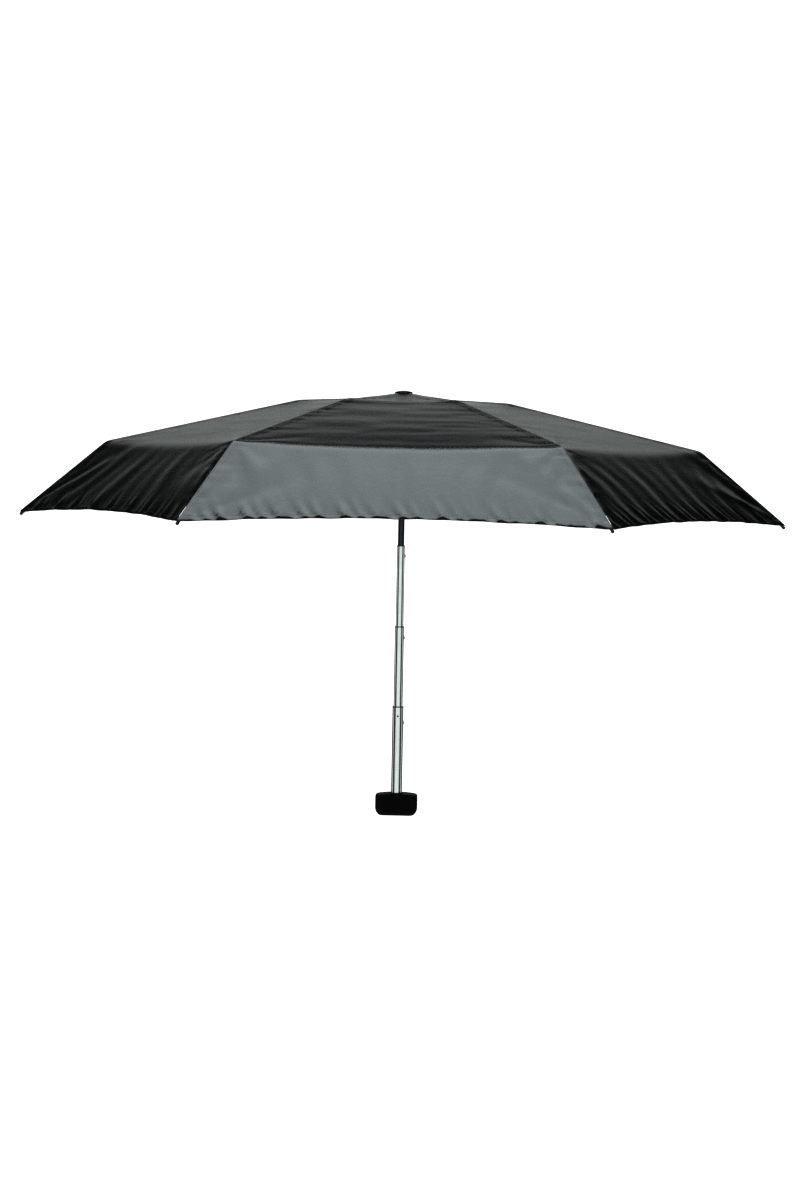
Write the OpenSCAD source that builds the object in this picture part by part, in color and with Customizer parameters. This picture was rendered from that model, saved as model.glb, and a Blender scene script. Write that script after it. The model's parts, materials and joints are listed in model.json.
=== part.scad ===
// Folding umbrella, open: five-stage shaft, six folding ribs, six-gore canopy, flat grip.
// Origin at the middle of the grip's base, +Z up the shaft, two rib tips on the X axis.

/* [Overall] */
// height of the rib hinges at the crown above the grip's base
crown_z = 492; // [400:1:600]

/* [Grip] */
// width of the grip
handle_w = 50; // [38:1:64]
// depth of the grip
handle_d = 27; // [22:1:36]
// height of the grip
handle_h = 26; // [20:1:40]

/* [Shaft] */
// outer radius of the lowest tube
tube_1_r = 6.6; // [6:0.05:8]
// step in radius from each tube to the next one inside it
tube_step = 0.9; // [0.85:0.01:1.1]
// wall of every tube
tube_wall = 0.6; // [0.4:0.05:0.7]
// gap between a tube and what slides on it
slide_gap = 0.12; // [0.05:0.01:0.3]
// how far a catch stands out of the tube around it
catch_out = 1.6; // [1:0.1:2.5]

/* [Ribs] */
// hinge to hinge length of the rib at the crown
rib_1_len = 114.6; // [90:0.5:140]
// hinge to hinge length of the second rib
rib_2_len = 111; // [90:0.5:140]
// hinge to hinge length of the third rib
rib_3_len = 122; // [95:0.5:150]
// hinge to tip length of the outermost rib
rib_4_len = 133; // [105:0.5:165]
// fall of the crown rib below level
slope_1 = 2.75; // [1:0.25:6]
// fall of the second rib below level
slope_2 = 13.96; // [10:0.25:18]
// fall of the third rib below level
slope_3 = 12.53; // [10:0.25:16]
// fall of the tip rib below level
slope_4 = 40; // [30:0.5:50]
// width of a rib's channel
rib_w = 2.8; // [2.4:0.1:3.6]
// depth of a rib's channel
rib_h = 2; // [1.6:0.1:2.2]
// sheet thickness of a rib's channel
rib_wall = 0.35; // [0.25:0.05:0.5]
// distance of a fold hinge from the middle of its channel
fold_off = 1.3; // [1.2:0.05:1.6]
// length of a stretcher between its hinges
stretcher_len = 58; // [50:0.5:66]
// distance along the crown rib to the stretcher's hinge
stretcher_at = 48; // [40:0.5:54]

/* [Canopy] */
// thickness of the cloth with its seams, measured upright
cloth_t = 0.6; // [0.5:0.05:0.8]
// rise of the hem between two tips
hem_rise = 11; // [0:0.5:20]
// radius of the cap on the crown
cap_r = 10.5; // [9:0.1:14]

/* [Hidden] */
RIBS = 6;
rib_names = ["top_rib", "second_rib", "third_rib", "tip_rib", "tip_cap", "stretcher", "canopy_gore"];
$fn = 64;

// radius of the ring of rib hinges at the crown
hub_r = tube_1_r + 2.4;

// rib hinges as [radius, height]
p0 = [hub_r, crown_z];
p1 = p0 + rib_1_len * [cos(slope_1), -sin(slope_1)];
p2 = p1 + rib_2_len * [cos(slope_2), -sin(slope_2)];
p3 = p2 + rib_3_len * [cos(slope_3), -sin(slope_3)];
ear_r = 1.15;
lug_r = 1.1;
lug_t = rib_w / 2;
rivet_r = 0.5;
rivet_gap = 0.05;
eye_r = 1.5;
wire_r = 0.5;
tip_r = 2;
rod_r = 1;

// stretcher hinge on the crown rib, and its foot on the runner
m_low = 2;
pm = p0 + [stretcher_at * cos(slope_1) - m_low * sin(slope_1), -stretcher_at * sin(slope_1) - m_low * cos(slope_1)];
foot_r = hub_r + 0.5;
foot_z = pm[1] - sqrt(pow(stretcher_len, 2) - pow(pm[0] - foot_r, 2));
stretcher_slope = atan2(pm[1] - foot_z, pm[0] - foot_r);

// runner
runner_bore = tube_1_r + 0.3;
runner_r = hub_r + 1.4;
sleeve_r = runner_bore + 2.1;
hub_half = 8;
sleeve_h = 18;
runner_low = foot_z - hub_half - sleeve_h;
runner_catch_z = runner_low - 3;

// shaft
shaft_len = crown_z - 14 - handle_h;
tube_foot_z = 4.5;
tube_top = [for (f = [0.228, 0.438, 0.65, 0.856]) min(handle_h + f * shaft_len, runner_catch_z - 6.5)];
tube_5_top = crown_z + 1;
tube_r = [tube_1_r, tube_1_r - tube_step - 0.25, tube_1_r - 2 * tube_step - 0.15, tube_1_r - 3 * tube_step - 0.1, tube_1_r - 4 * tube_step + 0.05];
catch_z = [0, tube_top[0] - 19, tube_top[1] - 13, tube_top[2] - 12, tube_top[3] - 11];
tube_low = [tube_foot_z, catch_z[1] - 8, catch_z[2] - 8, catch_z[3] - 8, catch_z[4] - 8];
tube_high = [tube_top[0], tube_top[1], tube_top[2], tube_top[3], tube_5_top];
groove_r = 0.8;
groove_at = 0.3;
lip_h = 3;
foot_h = 5;
catch_h = 5.2;
catch_travel = catch_out + tube_wall + 0.1;
leaf_t = 0.3;

// canopy ridge over a rib, as [radius, height]
tip_x = rib_4_len - 2.5;
ridge = [
    [3.5, crown_z + 7],
    [cap_r, crown_z + 7],
    [hub_r + 15, crown_z - 15 * tan(slope_1) + 5],
    [hub_r + 48, crown_z - 48 * tan(slope_1) + 2.1],
    [p1[0], p1[1] + 2.4],
    [p3[0], p3[1] + 3.2],
    [p3[0] + tip_x * cos(slope_4) + 2.9 * sin(slope_4), p3[1] - tip_x * sin(slope_4) + 2.9 * cos(slope_4)]];
hem_steps = 16;

// ---------- shared shapes ----------

// an upright plate in the plane of the drawing, t thick about y = 0
module plate(t) {
    translate([0, t / 2, 0]) rotate([90, 0, 0]) linear_extrude(t) children();
}

module rounded(w, d, r) {
    square([w - 2 * r, d], center = true);
    square([w, d - 2 * r], center = true);
    for (x = [-1, 1]) for (y = [-1, 1]) translate([x * (w / 2 - r), y * (d / 2 - r)]) circle(r);
}

// a tube's outline with its four long grooves, grown by g
module grooved(r, g) {
    difference() {
        circle(r + g);
        for (a = [45:90:315]) rotate(a) translate([r + groove_at, 0]) circle(groove_r - g);
    }
}

// the outline of a tube's bore, a little wider at the grooves so that the next tube's corners run free
module bore(r) {
    difference() {
        circle(r - tube_wall);
        for (a = [45:90:315]) rotate(a) translate([r + groove_at, 0]) circle(groove_r + tube_wall - slide_gap);
    }
}

// the outline of a foot that slides in a tube's bore
module foot(r) {
    difference() {
        circle(r - tube_wall - slide_gap);
        for (a = [45:90:315]) rotate(a) translate([r + groove_at, 0]) circle(groove_r + tube_wall);
    }
}

// the room for a catch through the walls on +X
module catch_window(k, reach) {
    w = leaf_w(k) + 0.3;
    translate([0, -w / 2, catch_z[k] - catch_h / 2 - 0.3]) cube([reach, w, catch_h + 0.6]);
}

function bore_r(k) = tube_r[k] - tube_wall;
function leaf_w(k) = bore_r(k) / 2;
function leaf_x(k) = sqrt(pow(bore_r(k) - 0.05, 2) - pow(leaf_w(k) / 2, 2));

// one shaft tube: k = 0 is the lowest
module tube(k) {
    low = tube_low[k];
    high = tube_high[k];
    difference() {
        union() {
            translate([0, 0, low]) linear_extrude(high - low) grooved(tube_r[k], 0);
            if (k > 0) translate([0, 0, low]) linear_extrude(foot_h) foot(tube_r[k - 1]);
        }
        translate([0, 0, low - 1]) linear_extrude(high - low + 1 - (k < 4 ? lip_h : -1)) bore(tube_r[k]);
        if (k < 4) {
            translate([0, 0, high - lip_h - 1]) linear_extrude(lip_h + 2) grooved(tube_r[k + 1], slide_gap);
            catch_window(k + 1, tube_r[k] + 1);
        }
        if (k > 0) catch_window(k, tube_r[k] + 1);
        if (k == 0) {
            translate([0, 0, tube_top[0] - 11.3]) rotate([90, 0, 0]) cylinder(r = 1.1, h = tube_1_r + 1);
            translate([0, 0, handle_h / 2]) rotate([-90, 0, 0]) cylinder(r = 1.3, h = tube_1_r + 1);
        }
        if (k == 4) translate([0, -leaf_w(4) / 2 - 0.15, runner_catch_z - 2.6]) cube([tube_r[4] + 1, leaf_w(4) + 0.3, 5.2]);
    }
}

// a nub on a hairpin leaf spring; out is how far the nub reaches from the axis
module spring_catch(k, z, out, flank, tall) {
    x = leaf_x(k);
    w = leaf_w(k);
    translate([0, 0, z]) plate(w) {
        polygon([[x - leaf_t, -tall / 2], [flank, -tall / 2], [out, -tall / 4], [out, -tall / 12], [flank, tall / 2], [x - leaf_t, tall / 2]]);
        translate([x - leaf_t, -5.5]) square([leaf_t, 8.8]);
        translate([-x, -5.5]) square([2 * x, leaf_t]);
        translate([-x, -5.5]) square([leaf_t, 8]);
    }
}

// places a part drawn along +X onto rib i, from hinge p down a slope
module on_rib(i, p, slope) {
    rotate([0, 0, 60 * (i - 1)]) translate([p[0], 0, p[1]]) rotate([0, slope, 0]) children();
}

// side view of a hinge lug at the origin, joining a channel that lies k * fold_off below it towards +X
module lug(k, r) {
    near = -k * (fold_off - rib_h / 2);
    far = -k * (fold_off + rib_h / 2);
    circle(r);
    polygon([[7, near], [3, near], [r / 2, k * 0.866 * r], [-r / 2, -k * 0.866 * r], [3, far], [7, far]]);
}

// side view of the channel's middle line band from x0 to x1; c0, c1 are its heights at 0 and len
module band(len, c0, c1, x0, x1, lo, hi) {
    a = c0 + (c1 - c0) * x0 / len;
    b = c0 + (c1 - c0) * x1 / len;
    polygon([[x0, a + lo], [x1, b + lo], [x1, b + hi], [x0, a + hi]]);
}

// folded-sheet channel with a fork at its outer end
module channel(len, c0, c1, x0, k) {
    difference() {
        plate(rib_w) {
            band(len, c0, c1, x0, len - 4, -rib_h / 2, rib_h / 2);
            translate([len, 0]) mirror([1, 0]) lug(k, ear_r);
            children();
        }
        plate(rib_w - 2 * rib_wall) difference() {
            translate([-5, -8]) square([len + 12, 16]);
            band(len, c0, c1, x0 - 1, len - 5.2, rib_h / 2 - rib_wall, rib_h / 2 + 3);
        }
    }
    translate([len, 0, 0]) rivet();
}

module rivet() {
    rotate([90, 0, 0]) cylinder(r = rivet_r, h = rib_w, center = true);
    for (s = [-1, 1]) translate([0, s * (rib_w / 2 + 0.05), 0]) rotate([90, 0, 0]) cylinder(r = 0.8, h = 0.3, center = true);
}

module pin_hole() {
    rotate([90, 0, 0]) cylinder(r = rivet_r + rivet_gap, h = rib_w + 2, center = true);
}

// ---------- sub-parts ----------

module handle() {
    dome = 160;
    rt = 2.8;
    rb = 9.5;
    cx = handle_w / 2 - rt;
    cz = handle_h - dome + sqrt(pow(dome - rt, 2) - cx * cx);
    color([0.05, 0.05, 0.055]) difference() {
        intersection() {
            plate(handle_d + 2) intersection() {
                translate([0, handle_h - dome]) circle(dome, $fn = 128);
                union() {
                    translate([-cx * dome / (dome - rt), rb]) square([2 * cx * dome / (dome - rt), handle_h]);
                    translate([-handle_w / 2 + rb, 0]) square([handle_w - 2 * rb, handle_h]);
                    translate([-handle_w / 2, rb]) square([handle_w, cz - rb]);
                    for (s = [-1, 1]) translate([s * (handle_w / 2 - rb), rb]) circle(rb);
                    for (s = [-1, 1]) translate([s * cx, cz]) circle(rt);
                }
            }
            linear_extrude(handle_h + 1) rounded(handle_w, handle_d, 8);
            rotate([0, 0, 90]) plate(handle_w + 2) union() {
                translate([0, handle_h / 2 + 1]) rounded(handle_d, handle_h + 2, 3);
                translate([0, 6]) square([handle_d - 12, 12], center = true);
            }
        }
        translate([0, 0, tube_foot_z - 0.05]) cylinder(r = tube_1_r + 0.05, h = handle_h);
        translate([0, 0, -1]) linear_extrude(2.8) rounded(handle_w * 0.56 + 0.3, handle_d * 0.48 + 0.3, 4.15);
        translate([0, 0, handle_h / 2]) rotate([-90, 0, 0]) cylinder(r = 1.3, h = handle_d);
    }
}

module handle_cover() {
    color([0.07, 0.07, 0.075]) linear_extrude(1.75) rounded(handle_w * 0.56, handle_d * 0.48, 4);
}

module handle_pin() {
    y = tube_1_r - tube_wall + 0.15;
    color([0.55, 0.56, 0.58]) translate([0, y, handle_h / 2]) rotate([-90, 0, 0]) cylinder(r = 1.25, h = handle_d / 2 - 0.8 - y);
}

module shaft_tube(k) {
    color(k < 3 ? [0.78, 0.79, 0.8] : [0.2, 0.2, 0.22]) tube(k);
}

module tube_catch(k) {
    out = tube_r[k - 1] + catch_out;
    color([0.5, 0.51, 0.53]) spring_catch(k, catch_z[k], out, tube_r[k - 1] - 0.1, catch_h);
}

module runner_catch() {
    out = runner_bore + 0.5;
    color([0.5, 0.51, 0.53]) spring_catch(4, runner_catch_z, out, out - 2.2, 4.4);
}

module runner() {
    color([0.06, 0.06, 0.065]) translate([0, 0, foot_z]) difference() {
        union() {
            translate([0, 0, -hub_half]) cylinder(r = runner_r, h = 2 * hub_half);
            translate([0, 0, -hub_half - sleeve_h]) cylinder(r = sleeve_r, h = sleeve_h + 1);
            translate([0, 0, -hub_half - sleeve_h]) cylinder(r = sleeve_r + 0.8, h = 3);
        }
        translate([0, 0, -hub_half - sleeve_h - 1]) cylinder(r = runner_bore, h = 2 * hub_half + sleeve_h + 2);
        for (i = [0:RIBS - 1]) rotate([0, 0, 60 * i]) translate([runner_bore + 1, -1.3, -hub_half - 1]) cube([6, 2.6, 2 * hub_half + 2]);
    }
}

module crown() {
    color([0.07, 0.07, 0.075]) difference() {
        union() {
            translate([0, 0, crown_z - 14]) cylinder(r = tube_r[4] + 2.4, h = 11);
            translate([0, 0, crown_z - 3.5]) cylinder(r = hub_r + 1.5, h = 7.5);
            translate([0, 0, crown_z + 3]) cylinder(r = 8, h = 3.2);
        }
        translate([0, 0, crown_z - 15]) cylinder(r = tube_r[4] + 0.05, h = 16.2);
        translate([0, 0, crown_z]) cylinder(r = 2.4, h = 8);
        for (i = [0:RIBS - 1]) rotate([0, 0, 60 * i]) translate([hub_r - 1.8, -lug_t / 2 - 0.2, crown_z - 4]) cube([5, lug_t + 0.4, 6.3]);
        rotate_extrude() translate([hub_r - 0.6, crown_z - 0.6]) square([3, 1.2]);
    }
}

module crown_wire() {
    color([0.6, 0.61, 0.62]) translate([0, 0, crown_z]) rotate_extrude() translate([hub_r, 0]) circle(r = wire_r);
}

module cap() {
    color([0.04, 0.04, 0.045]) union() {
        intersection() {
            translate([0, 0, crown_z + 7.3]) cylinder(r = cap_r, h = 3.3);
            translate([0, 0, crown_z + 10.5 - 3 * cap_r]) sphere(r = 3 * cap_r);
        }
        translate([0, 0, crown_z + 1.5]) cylinder(r = 2.3, h = 6);
    }
}

module top_rib(i) {
    color([0.16, 0.16, 0.18]) on_rib(i, p0, slope_1) difference() {
        union() {
            channel(rib_1_len, 0, -fold_off, 5, 1) {
                translate([stretcher_at, -m_low]) circle(1.2);
                translate([stretcher_at - 1.2, -m_low]) square([2.4, m_low]);
            }
            plate(lug_t) {
                circle(eye_r);
                translate([0, -rib_h / 2]) square([9, rib_h]);
            }
            translate([stretcher_at, 0, -m_low]) rivet();
        }
        rotate([90, 0, 0]) cylinder(r = wire_r + 0.2, h = 6, center = true);
    }
}

module second_rib(i) {
    color([0.16, 0.16, 0.18]) on_rib(i, p1, slope_2) difference() {
        union() {
            channel(rib_2_len, -fold_off, fold_off, 3.5, -1);
            plate(lug_t) lug(1, lug_r);
        }
        pin_hole();
    }
}

module third_rib(i) {
    color([0.16, 0.16, 0.18]) on_rib(i, p2, slope_3) difference() {
        union() {
            channel(rib_3_len, fold_off, -fold_off, 3.5, 1);
            plate(lug_t) lug(-1, lug_r);
        }
        pin_hole();
    }
}

module tip_rib(i) {
    fall = atan(fold_off / rib_4_len);
    color([0.16, 0.16, 0.18]) on_rib(i, p3, slope_4) difference() {
        union() {
            plate(lug_t) lug(1, lug_r);
            translate([0, 0, -fold_off]) rotate([0, 90 - fall, 0]) translate([0, 0, 4]) cylinder(r = rod_r, h = rib_4_len - 7.7);
        }
        pin_hole();
    }
}

module tip_cap(i) {
    color([0.03, 0.03, 0.035]) on_rib(i, p3, slope_4) difference() {
        union() {
            translate([rib_4_len - tip_r, 0, 0]) sphere(r = tip_r);
            translate([rib_4_len - 9, 0, 0]) rotate([0, 90, 0]) cylinder(r = 1.6, h = 7.5);
        }
        translate([rib_4_len - 10, 0, 0]) rotate([0, 90, 0]) cylinder(r = rod_r + 0.15, h = 7);
    }
}

module stretcher(i) {
    rotate([0, 0, 60 * (i - 1)]) translate([foot_r, 0, foot_z]) rotate([0, -stretcher_slope, 0]) color([0.2, 0.2, 0.22]) difference() {
        union() {
            plate(lug_t) {
                circle(1.4);
                translate([0, -0.9]) square([stretcher_len, 1.8]);
                translate([stretcher_len, 0]) circle(1.2);
            }
            rotate([90, 0, 0]) cylinder(r = 0.6, h = 2.3, center = true);
        }
        translate([stretcher_len, 0, 0]) pin_hole();
    }
}

module canopy_gore(i) {
    rows = len(ridge) - 1;
    tip = ridge[rows];
    run = [(tip[0] - ridge[rows - 1][0]) * cos(30), tip[1] - ridge[rows - 1][1]];
    down = run / norm(run);
    flank = concat([for (k = [0:rows]) [ridge[k][0] * cos(30), ridge[k][1]]], [[tip[0] * cos(30) + 5 * down[0], tip[1] + 5 * down[1]]]);
    hem = [for (j = [0:hem_steps]) let (u = 2 * j / hem_steps - 1) [tip[0] * cos(30) - hem_rise * (1 - u * u) * down[0], u * tip[0] * sin(30)]];
    color([0.06, 0.065, 0.065]) rotate([0, 0, 60 * i - 30]) intersection() {
        plate(tip[0] + 10) polygon(concat(flank, [for (k = [rows + 1:-1:0]) flank[k] - [0, cloth_t]]));
        linear_extrude(crown_z + 20) polygon(concat([[ridge[0][0] * cos(30), ridge[0][0] * sin(30)], [ridge[0][0] * cos(30), -ridge[0][0] * sin(30)]], hem));
    }
}

// ---------- what is drawn ----------

handle();
handle_cover();
handle_pin();
shaft_tube(0);  // tube_1
shaft_tube(1);  // tube_2
shaft_tube(2);  // tube_3
shaft_tube(3);  // tube_4
shaft_tube(4);  // tube_5
tube_catch(1);  // tube_catch_2
tube_catch(2);  // tube_catch_3
tube_catch(3);  // tube_catch_4
tube_catch(4);  // tube_catch_5
runner();
runner_catch();
crown();
crown_wire();
cap();
for (i = [1:RIBS]) {
    top_rib(i);
    second_rib(i);
    third_rib(i);
    tip_rib(i);
    tip_cap(i);
    stretcher(i);
    canopy_gore(i);
}
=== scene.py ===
import bpy
import json
import math
import numpy as np
from mathutils import Matrix, Vector


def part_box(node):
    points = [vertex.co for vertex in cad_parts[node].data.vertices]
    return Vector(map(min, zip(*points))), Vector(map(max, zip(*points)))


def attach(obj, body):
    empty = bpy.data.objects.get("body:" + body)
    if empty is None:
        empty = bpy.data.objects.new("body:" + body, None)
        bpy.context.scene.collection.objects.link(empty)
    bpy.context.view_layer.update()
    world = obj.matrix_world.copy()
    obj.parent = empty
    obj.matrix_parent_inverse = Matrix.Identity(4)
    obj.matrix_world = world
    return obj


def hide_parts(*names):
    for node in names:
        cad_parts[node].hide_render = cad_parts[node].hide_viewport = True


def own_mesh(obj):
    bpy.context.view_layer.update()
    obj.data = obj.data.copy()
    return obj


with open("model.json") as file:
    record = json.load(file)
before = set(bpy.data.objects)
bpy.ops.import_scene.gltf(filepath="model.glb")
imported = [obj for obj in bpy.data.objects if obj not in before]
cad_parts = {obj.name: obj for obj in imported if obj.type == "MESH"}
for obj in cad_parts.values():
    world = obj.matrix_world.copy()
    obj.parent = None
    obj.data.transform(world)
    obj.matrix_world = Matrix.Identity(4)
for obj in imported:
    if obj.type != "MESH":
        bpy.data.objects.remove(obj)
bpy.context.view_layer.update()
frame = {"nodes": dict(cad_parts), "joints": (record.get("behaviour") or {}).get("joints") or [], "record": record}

joints = {j["name"]: j for j in frame["joints"]}
print("frame loaded")


def hexToLinear(code):
    channels = [int(code[i:i + 2], 16) / 255 for i in (1, 3, 5)]
    return [c / 12.92 if c <= 0.04045 else ((c + 0.055) / 1.055) ** 2.4 for c in channels] + [1.0]


def addNode(tree, kind, settings=None, links=None, **values):
    # settings are the node's own choices, values are socket values, links feed sockets;
    # a value is named for its socket, with _ for a space, or n and the socket's number
    node = tree.nodes.new(kind)
    for name, value in (settings or {}).items():
        setattr(node, name, value)
    for name, value in values.items():
        socket = int(name[1:]) if name[0] == "n" and name[1:].isdigit() else name.replace("_", " ")
        node.inputs[socket].default_value = value
    for socket, source in (links or {}).items():
        tree.links.new(source, node.inputs[socket])
    return node


def newMaterial(name):
    material = bpy.data.materials.new(name)
    material.use_nodes = True
    tree = material.node_tree
    tree.nodes.clear()
    surface = addNode(tree, "ShaderNodeBsdfPrincipled")
    addNode(tree, "ShaderNodeOutputMaterial", links={"Surface": surface.outputs[0]})
    return material, tree, surface


def setRamp(ramp, stops):
    elements = ramp.color_ramp.elements
    while len(elements) > 1:
        elements.remove(elements[-1])
    elements[0].position, elements[0].color = stops[0][0], stops[0][1]
    for position, colour in stops[1:]:
        elements.new(position).color = colour


def grey(level):
    return (level, level, level, 1)


def coolGrey(level):
    # the studio's daylight lamps are a little green and blue
    return (0.94 * level, level, 0.975 * level, 1)


def giveMaterial(obj, material):
    obj.data.materials.clear()
    obj.data.materials.append(material)


def meshPiece(name, points, faces, material, smooth=True):
    mesh = bpy.data.meshes.new(name)
    mesh.from_pydata([tuple(map(float, p)) for p in points], [], faces)
    mesh.update()
    obj = bpy.data.objects.new(name, mesh)
    bpy.context.scene.collection.objects.link(obj)
    mesh.shade_smooth() if smooth else mesh.shade_flat()
    giveMaterial(obj, material)
    return obj


clothLook = {
    "colour": "#0b0c0c",       # dyed black, a little grey where it has rubbed
    "threadSpacing": 0.0009,   # real yarns lie 0.2 mm apart, drawn coarser so that they show
    "rubbedColour": "#101212",
    "threadColour": "#070808",
    "roughness": (0.23, 0.3),
    "specular": 0.6,
    "rumpleBump": 0.25,
    "yarnBump": 0.08,
    "stitchBump": 0.5,
    "stitchLength": 0.0032,
    "seamStitch": 0.0012,      # the stitch row beside the rib
    "seamWidth": 0.0075,
    "hemWidth": 0.0075,
    "rowInset": (0.87, 0.86),  # how far across the hem and the seam their outer rows run
}


def makePongee(look):
    # pongee: fine plain-woven polyester, calendered, so it has a broad silky shine
    material, tree, surface = newMaterial("pongeeCloth")
    uv = addNode(tree, "ShaderNodeUVMap", {"uv_map": "cloth"})
    ribDistance = addNode(tree, "ShaderNodeAttribute", {"attribute_name": "ribDistance"}).outputs["Fac"]
    hemDistance = addNode(tree, "ShaderNodeAttribute", {"attribute_name": "hemDistance"}).outputs["Fac"]
    scaled = addNode(
        tree, "ShaderNodeVectorMath", {"operation": "SCALE"}, {0: uv.outputs[0]},
        Scale=2 * math.pi / look["threadSpacing"])
    parts = addNode(tree, "ShaderNodeSeparateXYZ", links={0: scaled.outputs[0]})
    warp = addNode(tree, "ShaderNodeMath", {"operation": "SINE"}, {0: parts.outputs[0]})
    weft = addNode(tree, "ShaderNodeMath", {"operation": "SINE"}, {0: parts.outputs[1]})
    weave = addNode(
        tree, "ShaderNodeMath", {"operation": "MULTIPLY"}, {0: warp.outputs[0], 1: weft.outputs[0]})
    slub = addNode(
        tree, "ShaderNodeTexNoise", {"noise_dimensions": "2D"}, {"Vector": uv.outputs[0]}, Scale=420.0,
        Detail=3.0, Roughness=0.6)
    # soft rumples too fine for the mesh, a few millimetres across
    rumple = addNode(
        tree, "ShaderNodeTexNoise", {"noise_dimensions": "2D"}, {"Vector": uv.outputs[0]}, Scale=75.0,
        Detail=2.0, Roughness=0.45, Distortion=0.6)
    # stitch rows: one near the hem, two along each felled seam
    stitches = []
    for distance, centres in (
        (hemDistance, (look["hemWidth"] * look["rowInset"][0],)),
        (ribDistance, (look["seamStitch"], look["seamWidth"] * look["rowInset"][1]))):
        for centre in centres:
            off = addNode(tree, "ShaderNodeMath", {"operation": "SUBTRACT"}, {0: distance}, n1=centre)
            size = addNode(tree, "ShaderNodeMath", {"operation": "ABSOLUTE"}, {0: off.outputs[0]})
            line = addNode(
                tree, "ShaderNodeMapRange", {"interpolation_type": "SMOOTHSTEP"}, {"Value": size.outputs[0]},
                From_Min=0.0003, From_Max=0.0008, To_Min=1.0, To_Max=0.0)
            along = parts.outputs[0] if distance == hemDistance else parts.outputs[1]
            beat = addNode(
                tree, "ShaderNodeMath", {"operation": "MULTIPLY"}, {0: along},
                n1=look["threadSpacing"] / look["stitchLength"])
            wave = addNode(tree, "ShaderNodeMath", {"operation": "SINE"}, {0: beat.outputs[0]})
            dash = addNode(
                tree, "ShaderNodeMapRange", links={"Value": wave.outputs[0]}, From_Min=-0.9, From_Max=-0.3,
                To_Min=0.1, To_Max=0.4)
            stitches.append(
                addNode(tree, "ShaderNodeMath", {"operation": "MULTIPLY"},
                {0: line.outputs[0], 1: dash.outputs[0]}).outputs[0])
    total = stitches[0]
    for other in stitches[1:]:
        total = addNode(tree, "ShaderNodeMath", {"operation": "MAXIMUM"}, {0: total, 1: other}).outputs[0]
    tint = addNode(
        tree, "ShaderNodeTexNoise", {"noise_dimensions": "2D"}, {"Vector": uv.outputs[0]}, Scale=9.0,
        Detail=3.0)
    base = addNode(tree, "ShaderNodeMix", {"data_type": "RGBA"}, {0: tint.outputs["Fac"]})
    base.inputs[6].default_value = hexToLinear(look["colour"])
    base.inputs[7].default_value = hexToLinear(look["rubbedColour"])
    threaded = addNode(tree, "ShaderNodeMix", {"data_type": "RGBA"}, {0: total, 6: base.outputs[2]})
    threaded.inputs[7].default_value = hexToLinear(look["threadColour"])
    shine = addNode(
        tree, "ShaderNodeMapRange", links={"Value": slub.outputs["Fac"]}, From_Min=0.3, From_Max=0.7,
        To_Min=look["roughness"][0], To_Max=look["roughness"][1])
    surface.inputs["IOR"].default_value = 1.5
    surface.inputs["Specular IOR Level"].default_value = look["specular"]
    surface.inputs["Specular Tint"].default_value = (0.93, 1.0, 1.0, 1)
    surface.inputs["Sheen Weight"].default_value = 0.02
    surface.inputs["Sheen Roughness"].default_value = 0.45
    tree.links.new(threaded.outputs[2], surface.inputs["Base Color"])
    tree.links.new(shine.outputs[0], surface.inputs["Roughness"])
    soft = addNode(
        tree, "ShaderNodeBump", links={"Height": rumple.outputs["Fac"]}, Strength=look["rumpleBump"],
        Distance=0.0006)
    yarn = addNode(
        tree, "ShaderNodeBump", links={"Height": weave.outputs[0], "Normal": soft.outputs[0]},
        Strength=look["yarnBump"], Distance=0.0001)
    thread = addNode(
        tree, "ShaderNodeBump", {"invert": True}, {"Height": total, "Normal": yarn.outputs[0]},
        Strength=look["stitchBump"], Distance=0.0004)
    tree.links.new(thread.outputs[0], surface.inputs["Normal"])
    return material


def makeDrawnMetal(name, colour, roughness, streak):
    # drawn tube: fine lines run along the length, so it shines in long streaks
    material, tree, surface = newMaterial(name)
    place = addNode(tree, "ShaderNodeTexCoord")
    # draw lines about 0.4 mm apart
    squeeze = addNode(
        tree, "ShaderNodeMapping", links={"Vector": place.outputs["Object"]}, Scale=(2600.0, 2600.0, 26.0))
    lines = addNode(
        tree, "ShaderNodeTexNoise", links={"Vector": squeeze.outputs[0]}, Scale=1.0, Detail=4.0, Roughness=0.6
    )
    cloud = addNode(
        tree, "ShaderNodeTexNoise", links={"Vector": place.outputs["Object"]}, Scale=60.0, Detail=5.0,
        Roughness=0.65)
    rough = addNode(
        tree, "ShaderNodeMapRange", links={"Value": cloud.outputs["Fac"]}, From_Min=0.3, From_Max=0.7,
        To_Min=roughness - 0.05, To_Max=roughness + 0.09)
    bump = addNode(
        tree, "ShaderNodeBump", links={"Height": lines.outputs["Fac"]}, Strength=streak, Distance=0.00003)
    tint = addNode(tree, "ShaderNodeMix", {"data_type": "RGBA"}, {0: cloud.outputs["Fac"]})
    tint.inputs[6].default_value = hexToLinear(colour)
    tint.inputs[7].default_value = [c * 0.86 for c in hexToLinear(colour)[:3]] + [1]
    tree.links.new(tint.outputs[2], surface.inputs["Base Color"])
    tree.links.new(rough.outputs[0], surface.inputs["Roughness"])
    tree.links.new(bump.outputs[0], surface.inputs["Normal"])
    surface.inputs["Metallic"].default_value = 1.0
    return material


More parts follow.
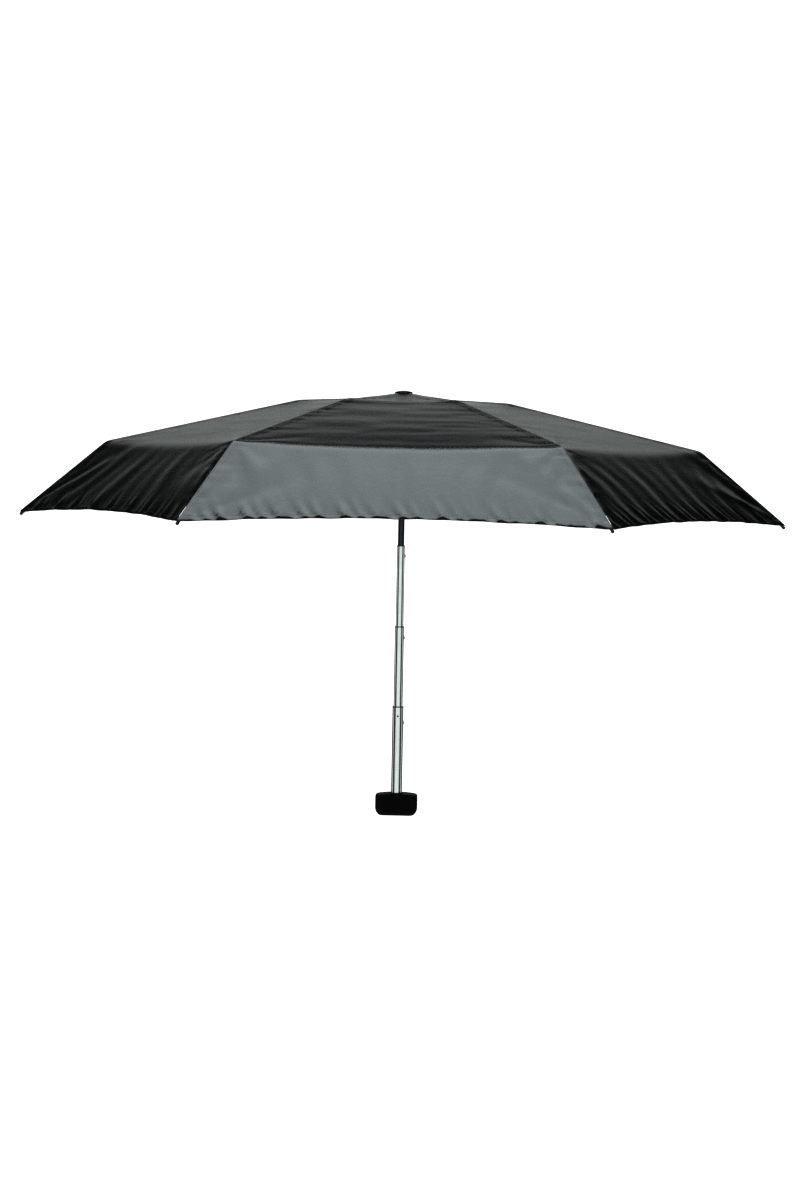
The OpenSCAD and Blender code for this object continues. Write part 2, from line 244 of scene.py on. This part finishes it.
def makeLacqueredSteel(name, colour, roughness):
    # rib steel: roll-formed strip under a thin dark lacquer, a little orange-peeled
    material, tree, surface = newMaterial(name)
    place = addNode(tree, "ShaderNodeTexCoord")
    # peel about 1 mm across
    peel = addNode(
        tree, "ShaderNodeTexNoise", links={"Vector": place.outputs["Object"]}, Scale=900.0, Detail=2.0)
    wear = addNode(
        tree, "ShaderNodeTexNoise", links={"Vector": place.outputs["Object"]}, Scale=140.0, Detail=6.0,
        Roughness=0.7)
    tint = addNode(tree, "ShaderNodeMix", {"data_type": "RGBA"}, {0: wear.outputs["Fac"]})
    tint.inputs[6].default_value = hexToLinear(colour)
    tint.inputs[7].default_value = [min(1, c * 1.7) for c in hexToLinear(colour)[:3]] + [1]
    rough = addNode(
        tree, "ShaderNodeMapRange", links={"Value": wear.outputs["Fac"]}, From_Min=0.3, From_Max=0.7,
        To_Min=roughness - 0.06, To_Max=roughness + 0.08)
    bump = addNode(
        tree, "ShaderNodeBump", links={"Height": peel.outputs["Fac"]}, Strength=0.15, Distance=0.00005)
    tree.links.new(tint.outputs[2], surface.inputs["Base Color"])
    tree.links.new(rough.outputs[0], surface.inputs["Roughness"])
    tree.links.new(bump.outputs[0], surface.inputs["Normal"])
    surface.inputs["Metallic"].default_value = 0.6
    return material


def makeMouldedPlastic(name, colour, roughness, grain, grainScale, gloss=0.5):
    # moulded ABS: fine spark-eroded grain from the tool, softly worn on its corners
    material, tree, surface = newMaterial(name)
    place = addNode(tree, "ShaderNodeTexCoord")
    grit = addNode(
        tree, "ShaderNodeTexVoronoi", {"feature": "F1"}, {"Vector": place.outputs["Object"]},
        Scale=1.0 / grainScale)
    mottle = addNode(
        tree, "ShaderNodeTexNoise", links={"Vector": place.outputs["Object"]}, Scale=120.0, Detail=5.0,
        Roughness=0.6)
    edge = addNode(tree, "ShaderNodeNewGeometry")
    worn = addNode(
        tree, "ShaderNodeMapRange", links={"Value": edge.outputs["Pointiness"]}, From_Min=0.5, From_Max=0.62,
        To_Min=0.0, To_Max=0.6)
    tint = addNode(tree, "ShaderNodeMix", {"data_type": "RGBA"}, {0: worn.outputs[0]})
    tint.inputs[6].default_value = hexToLinear(colour)
    tint.inputs[7].default_value = [min(1, c * 2.2 + 0.004) for c in hexToLinear(colour)[:3]] + [1]
    rough = addNode(
        tree, "ShaderNodeMapRange", links={"Value": mottle.outputs["Fac"]}, From_Min=0.3, From_Max=0.7,
        To_Min=roughness - 0.05, To_Max=roughness + 0.07)
    bump = addNode(
        tree, "ShaderNodeBump", links={"Height": grit.outputs["Distance"]}, Strength=grain, Distance=0.00006)
    tree.links.new(tint.outputs[2], surface.inputs["Base Color"])
    tree.links.new(rough.outputs[0], surface.inputs["Roughness"])
    tree.links.new(bump.outputs[0], surface.inputs["Normal"])
    surface.inputs["IOR"].default_value = 1.53
    surface.inputs["Specular IOR Level"].default_value = gloss
    return material


pongee = makePongee(clothLook)
aluminium = makeDrawnMetal("drawnAluminium", "#cdd1d0", 0.12, 0.03)
gunmetal = makeDrawnMetal("blackenedSteel", "#4a4b4f", 0.3, 0.3)
springSteel = makeDrawnMetal("springSteel", "#9b9da1", 0.3, 0.2)
ribSteel = makeLacqueredSteel("lacqueredRibSteel", "#3a3b3e", 0.38)
# soft-touch coat takes the shine off
gripPlastic = makeMouldedPlastic("mouldedGrip", "#040404", 0.55, 0.25, 0.0006, 0.1)
hubPlastic = makeMouldedPlastic("mouldedHub", "#121213", 0.45, 0.2, 0.0007)
glossPlastic = makeMouldedPlastic("polishedCap", "#0b0b0c", 0.25, 0.08, 0.0008)
print("materials made")

for name, obj in frame["nodes"].items():
    if name in ("tube_1", "tube_2", "tube_3"):
        giveMaterial(obj, aluminium)
    elif name in ("tube_4", "tube_5"):
        giveMaterial(obj, gunmetal)
    elif "catch" in name or name in ("crown_wire", "handle_pin"):
        giveMaterial(obj, springSteel)
    elif name in ("handle", "handle_cover"):
        giveMaterial(obj, gripPlastic)
    elif name in ("runner", "crown"):
        giveMaterial(obj, hubPlastic)
    elif name == "cap" or name.startswith("tip_cap"):
        giveMaterial(obj, glossPlastic)
    elif "rib" in name or name.startswith("stretcher"):
        giveMaterial(obj, ribSteel)

hardware = {
    "bushHeight": 0.0011,   # dark ring at the mouth of a tube: painted shade of the gap under the lip
    "bushProud": 0.00012,
    # the stop pin's hole gets a dark disc: painted shade for its shadowed inside
    "stopPinRadius": 0.001,
    "stopPinBelowMouth": 0.0113,
}


def ringPiece(name, radius, low, high, material):
    steps = 48
    points = [
        (radius * math.cos(2 * math.pi * i / steps), radius * math.sin(2 * math.pi * i / steps),
        z) for z in (low, high) for i in range(steps)]
    inner = [(0.94 * x, 0.94 * y, z) for x, y, z in points[steps:]]
    faces = [
        (r * steps + i, r * steps + (i + 1) % steps, (r + 1) * steps + (i + 1) % steps,
        (r + 1) * steps + i) for r in range(2) for i in range(steps)]
    return meshPiece(name, points + inner, faces, material, smooth=False)


bodyOf = {node: body for body, nodes in frame["record"]["behaviour"]["bodies"].items() for node in nodes}
# each tube's mouth gets a thin dark ring: painted shade, the shadow line where the next tube slides in
for k in range(1, 5):
    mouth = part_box(f"tube_{k}")[1][2]
    rim = [v.co for v in frame["nodes"][f"tube_{k}"].data.vertices if v.co.z > mouth - 0.0005]
    radius = max(math.hypot(p.x, p.y) for p in rim) + hardware["bushProud"]
    mouthShadeRing = ringPiece(f"tube_mouth_shade_{k}", radius, mouth - hardware["bushHeight"], mouth + 0.00005, hubPlastic)
    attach(mouthShadeRing, bodyOf[f"tube_{k}"])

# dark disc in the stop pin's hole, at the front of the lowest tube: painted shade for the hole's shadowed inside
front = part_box("tube_1")
holeShadeHeight = front[1][2] - hardware["stopPinBelowMouth"]
holeShade = meshPiece(
    "stop_pin", [(hardware["stopPinRadius"] * math.cos(math.pi * i / 12),
    front[0][1] + 0.00045 - 0.0001 * math.sin(math.pi * i / 12) ** 2,
    holeShadeHeight + hardware["stopPinRadius"] * math.sin(math.pi * i / 12)) for i in range(24)],
    [tuple(range(24))], hubPlastic, smooth=False)
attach(holeShade, bodyOf["tube_1"])
print("hardware made")

canopy = {
    "sectors": 12,          # slices of one gore, so that the cloth can gather when the frame shuts
    "columns": 8,           # mesh columns in a slice
    "clearCap": 0.007,      # cloth above the rib hinges at the crown
    "overKink": 0.0024,     # cloth above the second hinge
    "overKnee": 0.0032,     # cloth above the fourth hinge
    "overTip": 0.0029,      # cloth above the tip rib
    "hemRise": 0.011,       # how far the hem is cut in between two tips
    "kneeSag": 0.0036,      # how far the cloth cuts the corner between two knees
    "kinkSag": 0.002,
    "tipBall": 0.002,       # radius of a rib tip's rounded end
    "crownRadius": 0.024,   # the part that stays under the cap
    "anchorInset": 0.001,   # slices gather to just inside the crown part's edge
    "firstSeed": 40,        # each gore draws its folds from its own seed, counted from here
    "bundleKeep": 0.02,     # what is left of a slice's reach when the frame is shut
    "hemStep": 0.0015,      # mesh rows close to the hem
    "hemRows": 5,           # how many of them the rolled hem covers
    "puckerHeight": 0.00062,
    "foldHeight": 0.0013,
}


def radial(point):
    return np.array([math.hypot(point[0], point[1]), point[2]])


def ridgeLine(c):
    # cloth over a rib, as radius and height, from the crown's edge to the tip
    crown, kink, knee = (
        radial(joints[n + "_1_hinge"]["pos_m"]) for n in ("top_rib", "second_rib", "tip_rib"))
    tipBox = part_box("tip_cap_1")
    tip = np.array([tipBox[1][0] - c["tipBall"], tipBox[0][2] + c["tipBall"]])  # middle of the rounded end
    run = (tip - knee) / np.linalg.norm(tip - knee)
    up = np.array([-run[1], run[0]])
    slope = (kink - crown)[1] / (kink - crown)[0]
    along = lambda d, h: crown + [d, slope * d + h]
    return np.array([
        [0.0035, crown[1] + c["clearCap"]],
        [0.0105, crown[1] + c["clearCap"]],
        along(0.015, 0.005),
        along(0.048, 0.0021),
        kink + [0, c["overKink"]],
        knee + [0, c["overKnee"]],
        tip - run * 0.0005 + up * c["overTip"]])


def profilePoint(line, lengths, s, soft):
    # a point at length s down the profile, with its corners rounded over about soft
    total = np.zeros(np.broadcast(s, soft).shape + (2,))
    weights = 0
    for k, w in zip(np.linspace(-2, 2, 9), np.exp(-0.5 * np.linspace(-2, 2, 9) ** 2)):
        at = s + k * soft
        x = np.interp(at, lengths, line[:, 0])
        z = np.interp(at, lengths, line[:, 1])
        over = np.maximum(at - lengths[-1], 0)  # beyond the hem the cloth's own slope goes on
        last = (line[-1] - line[-2]) / np.linalg.norm(line[-1] - line[-2])
        total += w * np.stack([x + over * last[0], z + over * last[1]], -1)
        weights += w
    return total / weights


line = ridgeLine(canopy)
lengths = np.concatenate([[0], np.cumsum(np.linalg.norm(np.diff(line, axis=0), axis=1))])
kinkS, kneeS, hemS = lengths[4], lengths[5], lengths[6]


def spaced(start, end, step):
    return list(np.linspace(start, end, max(2, round((end - start) / step) + 1))[:-1])


crownS = float(np.interp(canopy["crownRadius"], line[:, 0], lengths))
rowS = np.array(
    spaced(crownS, kinkS - 0.015, 0.005) + spaced(kinkS - 0.015, kinkS + 0.015, 0.0025)
    + spaced(kinkS + 0.015, kneeS - 0.018, 0.005) + spaced(kneeS - 0.018, kneeS + 0.018, 0.0024)
    + spaced(kneeS + 0.018, hemS - 0.012, 0.0045) + spaced(hemS - 0.012, hemS, canopy["hemStep"]) + [hemS])
crownRows = np.array(spaced(0, crownS, 0.0025) + [crownS])
columnCount = canopy["sectors"] * canopy["columns"]
acrossAll = np.linspace(-1, 1, columnCount + 1)


def clothBase(across, s):
    # across runs from -1 at one rib to 1 at the next; s is the length down a rib
    inner = 1 - across ** 2
    q = np.clip((s - kneeS) / (hemS - kneeS), 0, None)
    s = s - canopy["hemRise"] * inner * q
    soft = 0.003 + 0.005 * inner
    p = profilePoint(line, lengths, s, np.minimum(soft, 0.3 * s + 1e-6))
    sag = inner * (
        canopy["kneeSag"] * np.exp(-((s - kneeS) / 0.055) ** 2) + canopy["kinkSag"] * np.exp(-((s - kinkS) / 0.05) ** 2)
    )
    reach = p[..., 0] * math.cos(math.pi / 6)
    side = p[..., 0] * math.sin(math.pi / 6) * across
    return np.stack([reach, side, p[..., 1] - sag], -1)


def normalsOf(grid):
    down = np.gradient(grid, axis=0)
    over = np.gradient(grid, axis=1)
    n = np.cross(down, over)
    return n / np.maximum(np.linalg.norm(n, axis=-1, keepdims=True), 1e-12)


def wander(x, wavelengths, rng):
    # a smooth random wave along x, about -1 to 1
    total = 0
    for w in wavelengths:
        total = total + math.sqrt(1 / len(wavelengths)) * np.sin(
            2 * math.pi * x / w + rng.uniform(0, 2 * math.pi))
    return total


def ray(x, y, angle, width, start, peak, end):
    # one fold that fans out from a corner: width in radians, lengths in metres
    rho = np.hypot(x, y)
    theta = np.arctan2(y, x)
    shape = np.exp(-((theta - angle) / width) ** 2)
    rise = np.clip((rho - start) / (peak - start), 0, 1)
    fall = np.clip((end - rho) / (end - peak), 0, 1)
    return shape * rise * rise * (3 - 2 * rise) * fall * fall * (3 - 2 * fall)


def foldField(gore, side, s, half, rng):
    # height of the folds that tension pulls into one gore
    d = np.zeros_like(side)
    toRib = half - np.abs(side)
    toHem = hemS - s
    # puckers that the seam and hem threads pull in
    for sign in (-1, 1):
        edge = half - sign * side
        pitch = s + 0.004 * wander(s, (0.071, 0.113), rng)
        d += canopy["puckerHeight"] * wander(
            pitch, (0.0115, 0.0172, 0.026), rng) * np.exp(-edge / 0.013) * np.clip(s / 0.06, 0, 1)
    # strongest a little above the rolled hem, which holds the edge itself straight
    belt = np.clip(toHem, 0, None) / 0.008
    d += 1.5 * canopy["puckerHeight"] * wander(
        side + 0.35 * toHem, (0.0145, 0.0205, 0.033), rng) * belt * np.exp(1 - belt)
    # fans from the tips up into the lower panel and from the knees both ways
    for sign in (-1, 1):
        x = toHem
        y = half - sign * side
        for angle in rng.uniform(0.06, 1.0, 7):
            d += canopy["foldHeight"] * rng.uniform(0.35, 1.0) * rng.choice([-1, 1]) * ray(
                x, y, angle, rng.uniform(0.11, 0.19), 0.014, 0.06, rng.uniform(0.09, 0.24))
        for way in (-1, 1):
            x = way * (s - kneeS)
            for angle in rng.uniform(0.15, 1.35, 3):
                d += 0.6 * canopy["foldHeight"] * rng.uniform(0.4, 1) * rng.choice([-1, 1]) * ray(
                    x, y, angle, rng.uniform(0.1, 0.17), 0.01, 0.035, rng.uniform(0.06, 0.15))
    # long soft waves: across the upper panel, and down the lower one
    upper = np.clip((kneeS - s) / 0.05, 0, 1) * np.clip((s - 0.03) / 0.05, 0, 1)
    slant = rng.uniform(-0.12, 0.12, 4)
    for k, wave in enumerate((0.012, 0.021, 0.037, 0.066)):
        bend = s + slant[k] * side + 0.007 * wander(side, (0.14, 0.21, 0.37), rng)
        reach = np.clip(0.5 + 0.9 * wander(side + 0.4 * s, (0.11, 0.19), rng), 0, 1.3)
        d += 0.005 * wave * upper * np.sin(2 * math.pi * bend / wave + rng.uniform(0, 6)) * reach
    lower = np.clip((s - kneeS) / 0.05, 0, 1)
    lean = side * (1 + 0.25 * wander(s, (0.3,), rng))
    d += 0.00045 * lower * wander(lean, (0.041, 0.067, 0.11), rng)
    # the cloth lies still where it is sewn to the ribs
    hold = 1 - np.exp(-(toRib / 0.004) ** 2)
    return d * hold


def seamHeight(toRib, s):
    # a felled seam stands a little proud, with a step at its edge
    w = clothLook["seamWidth"]
    roll = -0.0006 * np.exp(-(np.clip(hemS - s, 0, None) / 0.0012) ** 2)  # the hem's edge rolls under
    return roll + 0.00045 / (1 + np.exp((toRib - w) / 0.0004)) + 0.0003 * np.exp(-(toRib / 0.0015) ** 2)


def goreGrid(gore, rows):
    rng = np.random.default_rng(canopy["firstSeed"] + gore)
    across = np.broadcast_to(acrossAll, (len(rows), len(acrossAll))).copy()
    s = np.broadcast_to(rows[:, None], across.shape)
    base = clothBase(across, s)
    n = normalsOf(base)
    half = base[:, -1, 1][:, None]
    height = foldField(gore, base[..., 1], s, half, rng)
    toRib = half - np.abs(base[..., 1])
    height = height * np.clip((s - 0.012) / 0.02, 0, 1)
    height = height + seamHeight(toRib, s) * np.clip(half / 0.02, 0, 1)
    return base + n * height[..., None], toRib, s


def turn(points, angle):
    c, s = math.cos(angle), math.sin(angle)
    return np.stack(
        [points[..., 0] * c - points[..., 1] * s, points[..., 0] * s + points[..., 1] * c, points[..., 2]], -1
    )


def gridFaces(rows, columns):
    return [
        (r * columns + c, (r + 1) * columns + c, (r + 1) * columns + c + 1,
        r * columns + c + 1) for r in range(rows - 1) for c in range(columns - 1)]


def clothPiece(name, grid, normals, toRib, toHem, uv):
    rows, columns = grid.shape[:2]
    obj = meshPiece(name, grid.reshape(-1, 3), gridFaces(rows, columns), pongee)
    mesh = obj.data
    layer = mesh.uv_layers.new(name="cloth")
    corner = np.array([l.vertex_index for l in mesh.loops])
    layer.data.foreach_set("uv", uv.reshape(-1, 2)[corner].astype(np.float32).ravel())
    for key, values in (("ribDistance", toRib), ("hemDistance", toHem)):
        mesh.attributes.new(key, "FLOAT", "POINT").data.foreach_set(
            "value", values.astype(np.float32).ravel())
    mesh.normals_split_custom_set_from_vertices(normals.reshape(-1, 3).tolist())
    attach(obj, "top")
    return obj


def addHemFold(grid, toRib, toHem, uv):
    # the hem is rolled under: round the edge and back up the inside
    # each row of the fold lies under the cloth's own row there, so it never pokes through
    n = normalsOf(grid)
    outward = grid[-1] - grid[-2]
    outward = outward / np.linalg.norm(outward, axis=-1, keepdims=True)
    rows, distances = [grid[-1] + outward * 0.0004 - n[-1] * 0.0004], [0]
    for back, under in ((0, 0.0009), (1, 0.0011), (2, 0.0011), (3, 0.0011), (canopy["hemRows"], 0.0009)):
        rows.append(grid[-1 - back] - n[-1 - back] * under)
        distances.append(back * canopy["hemStep"])
    grid = np.concatenate([grid, np.array(rows)])
    toRib = np.concatenate([toRib, np.repeat(toRib[-1:], len(rows), 0)])
    toHem = np.concatenate([toHem, np.array(distances)[:, None] + np.zeros((1, toHem.shape[1]))])
    last = uv[-1]
    uv = np.concatenate([uv, np.array([last - [0, d] for d in distances])])
    return grid, toRib, toHem, uv


crownParts = []
for gore in range(1, 7):
    middle = math.radians(60 * gore - 30)
    allRows = np.concatenate([crownRows, rowS[1:]])
    grid, toRib, s = goreGrid(gore, allRows)
    normals = normalsOf(grid)
    split = len(crownRows) - 1
    crownParts.append(
        (turn(grid[:split + 1], middle), turn(normals[:split + 1], middle), toRib[:split + 1], s[:split + 1]))
    # lower part, cut into slices
    body, bodyRib, bodyS = grid[split:], toRib[split:], s[split:]
    toHem = hemS - bodyS
    uv = np.stack([body[..., 1], bodyS], -1)
    body, bodyRib, toHem, uv = addHemFold(body, bodyRib, toHem, uv)
    bodyNormals = normalsOf(body)
    bodyNormals[:rowS.size] = normals[split:]
    for k in range(canopy["sectors"]):
        cut = slice(k * canopy["columns"], (k + 1) * canopy["columns"] + 1)
        piece = clothPiece(
            f"gore_{gore}_slice_{k + 1:02d}", turn(body[:, cut], middle), turn(bodyNormals[:, cut], middle),
            bodyRib[:, cut], toHem[:, cut], uv[:, cut])
        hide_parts(f"canopy_gore_{gore}")
        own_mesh(piece)

points = np.concatenate([p[0][:, :-1] for p in crownParts], axis=1)
normals = np.concatenate([p[1][:, :-1] for p in crownParts], axis=1)
ribs = np.concatenate([p[2][:, :-1] for p in crownParts], axis=1)
lengthsDown = np.concatenate([p[3][:, :-1] for p in crownParts], axis=1)
rows, columns = points.shape[:2]
faces = [
    (r * columns + c, (r + 1) * columns + c, (r + 1) * columns + (c + 1) % columns,
    r * columns + (c + 1) % columns) for r in range(rows - 1) for c in range(columns)]
crownCloth = meshPiece("crown_cloth", points.reshape(-1, 3), faces, pongee)
layer = crownCloth.data.uv_layers.new(name="cloth")
corner = np.array([l.vertex_index for l in crownCloth.data.loops])
layer.data.foreach_set("uv", points.reshape(-1, 3)[corner][:, :2].astype(np.float32).ravel())
for key, values in (("ribDistance", ribs), ("hemDistance", np.full(ribs.shape, 0.4))):
    crownCloth.data.attributes.new(key, "FLOAT", "POINT").data.foreach_set(
        "value", values.astype(np.float32).ravel())
crownCloth.data.normals_split_custom_set_from_vertices(normals.reshape(-1, 3).tolist())
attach(crownCloth, "top")
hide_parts(*[f"canopy_gore_{g}" for g in range(1, 7)])

stage = {
    "floorDrop": 0.95,
    "floorReach": 3.2,      # small enough that upright shiny things mirror the dark flags beyond it
    "floorColour": "#f4f4f4",
    "floorGlow": 0.8,
    "softboxPower": 44.0,
    "softboxSize": 2.2,
    "softboxHeight": 2.6,
    "softboxTint": (0.93, 0.97, 1.0),
    # how bright the studio is at each elevation in degrees
    "skyLevels": ((-90, 0.9), (-20, 1), (0, 1), (6, 0.7), (12, 0.36), (20, 0.38), (28, 0.4), (34, 0.2),
                  (42, 0.03), (58, 0.02), (72, 0.54), (90, 0.54)),
    # and at each heading, from -1 behind the object to 1 in front of it
    "flagLevels": ((-1, 1), (-0.95, 1), (-0.88, 0.05), (0.6, 0.05), (0.84, 0.95), (1, 0.95)),
}

floorMaterial, tree, surface = newMaterial("paintedFloor")
# a white table lit from below, so that it stays pale out to the horizon
surface.inputs["Base Color"].default_value = hexToLinear(stage["floorColour"])
surface.inputs["Roughness"].default_value = 0.9
surface.inputs["Emission Color"].default_value = hexToLinear(stage["floorColour"])
surface.inputs["Emission Strength"].default_value = stage["floorGlow"]
seeThrough = addNode(tree, "ShaderNodeBsdfTransparent")
facing = addNode(tree, "ShaderNodeNewGeometry")
mixed = addNode(
    tree, "ShaderNodeMixShader",
    links={0: facing.outputs["Backfacing"], 1: surface.outputs[0], 2: seeThrough.outputs[0]})
output = [n for n in tree.nodes if n.type == "OUTPUT_MATERIAL"][0]
tree.links.new(mixed.outputs[0], output.inputs["Surface"])
corners = [
    (x * stage["floorReach"], y * stage["floorReach"], -stage["floorDrop"]) for x,
    y in ((-1, -1), (1, -1), (1, 1), (-1, 1))]
floor = meshPiece("floor", corners, [(0, 1, 2, 3)], floorMaterial)

world = bpy.data.worlds.new("studio")
bpy.context.scene.world = world
world.use_nodes = True
tree = world.node_tree
tree.nodes.clear()
place = addNode(tree, "ShaderNodeTexCoord")
parts = addNode(tree, "ShaderNodeSeparateXYZ", links={0: place.outputs["Generated"]})
height = addNode(tree, "ShaderNodeMapRange", links={"Value": parts.outputs[2]}, From_Min=-1.0, From_Max=1.0)
ramp = addNode(tree, "ShaderNodeValToRGB", links={0: height.outputs[0]})
# the ramp runs on the sine of the elevation
setRamp(ramp, [((math.sin(math.radians(e)) + 1) / 2, coolGrey(level)) for e, level in stage["skyLevels"]])
pale = addNode(tree, "ShaderNodeBackground", Color=(1, 1, 1, 1), Strength=1.0)
# tall dark flags stand at both sides, so that round metal gets dark flanks
level = addNode(tree, "ShaderNodeCombineXYZ", links={0: parts.outputs[0], 1: parts.outputs[1]})
heading = addNode(tree, "ShaderNodeVectorMath", {"operation": "NORMALIZE"}, {0: level.outputs[0]})
facingCamera = addNode(tree, "ShaderNodeVectorMath", {"operation": "DOT_PRODUCT"}, {0: heading.outputs[0]})
facingCamera.inputs[1].default_value = (0, -1, 0)
side = addNode(
    tree, "ShaderNodeMapRange", links={"Value": facingCamera.outputs["Value"]}, From_Min=-1.0, From_Max=1.0)
flags = addNode(tree, "ShaderNodeValToRGB", links={0: side.outputs[0]})
setRamp(flags, [((c + 1) / 2, grey(level)) for c, level in stage["flagLevels"]])
shaped = addNode(
    tree, "ShaderNodeMix", {"data_type": "RGBA", "blend_type": "MULTIPLY"},
    {6: ramp.outputs[0], 7: flags.outputs[0]})
shaped.inputs[0].default_value = 1.0
lit = addNode(tree, "ShaderNodeBackground", links={"Color": shaped.outputs[2]}, Strength=1.0)
sight = addNode(tree, "ShaderNodeLightPath")
both = addNode(
    tree, "ShaderNodeMixShader",
    links={0: sight.outputs["Is Camera Ray"], 1: lit.outputs[0], 2: pale.outputs[0]})
addNode(tree, "ShaderNodeOutputWorld", links={"Surface": both.outputs[0]})


def softbox(name, place, target, width, depth, power):
    lamp = bpy.data.lights.new(name, "AREA")
    lamp.shape = "RECTANGLE"
    lamp.size, lamp.size_y = width, depth
    lamp.energy = power
    lamp.color = stage["softboxTint"]
    obj = bpy.data.objects.new(name, lamp)
    bpy.context.scene.collection.objects.link(obj)
    obj.location = place
    obj.rotation_euler = (Vector(target) - Vector(place)).to_track_quat("-Z", "Y").to_euler()
    return obj


softbox(
    "overheadSoftbox", (0, -0.2, stage["softboxHeight"]), (0, -0.1, 0.4), stage["softboxSize"],
    stage["softboxSize"], stage["softboxPower"])

viewpoint = {
    "distance": 3.1315,
    "height": 0.4068,
    "lens": 79.48,
    "pitch": -2.771,
    "turn": -1.022,
    "roll": 1.057,
}


def setCamera(v):
    turnAngle, pitch, roll = (math.radians(v[k]) for k in ("turn", "pitch", "roll"))
    c, s = math.cos(turnAngle), math.sin(turnAngle)
    right = Vector((c, -s, 0))
    forward = Vector((s * math.cos(pitch), c * math.cos(pitch), math.sin(pitch)))
    up = right.cross(forward)
    tiltedRight = right * math.cos(roll) + up * math.sin(roll)
    tiltedUp = up * math.cos(roll) - right * math.sin(roll)
    data = bpy.data.cameras.new("camera")
    data.lens = v["lens"]
    data.sensor_width = 36.0
    data.clip_end = 200.0
    camera = bpy.data.objects.new("camera", data)
    bpy.context.scene.collection.objects.link(camera)
    matrix = Matrix((tiltedRight, tiltedUp, -forward)).transposed().to_4x4()
    matrix.translation = Vector((-s * v["distance"], -c * v["distance"], v["height"]))
    camera.matrix_world = matrix
    bpy.context.scene.camera = camera


setCamera(viewpoint)
bpy.context.scene.view_settings.view_transform = "Standard"
bpy.context.scene.view_settings.look = "High Contrast"
print("stage set")
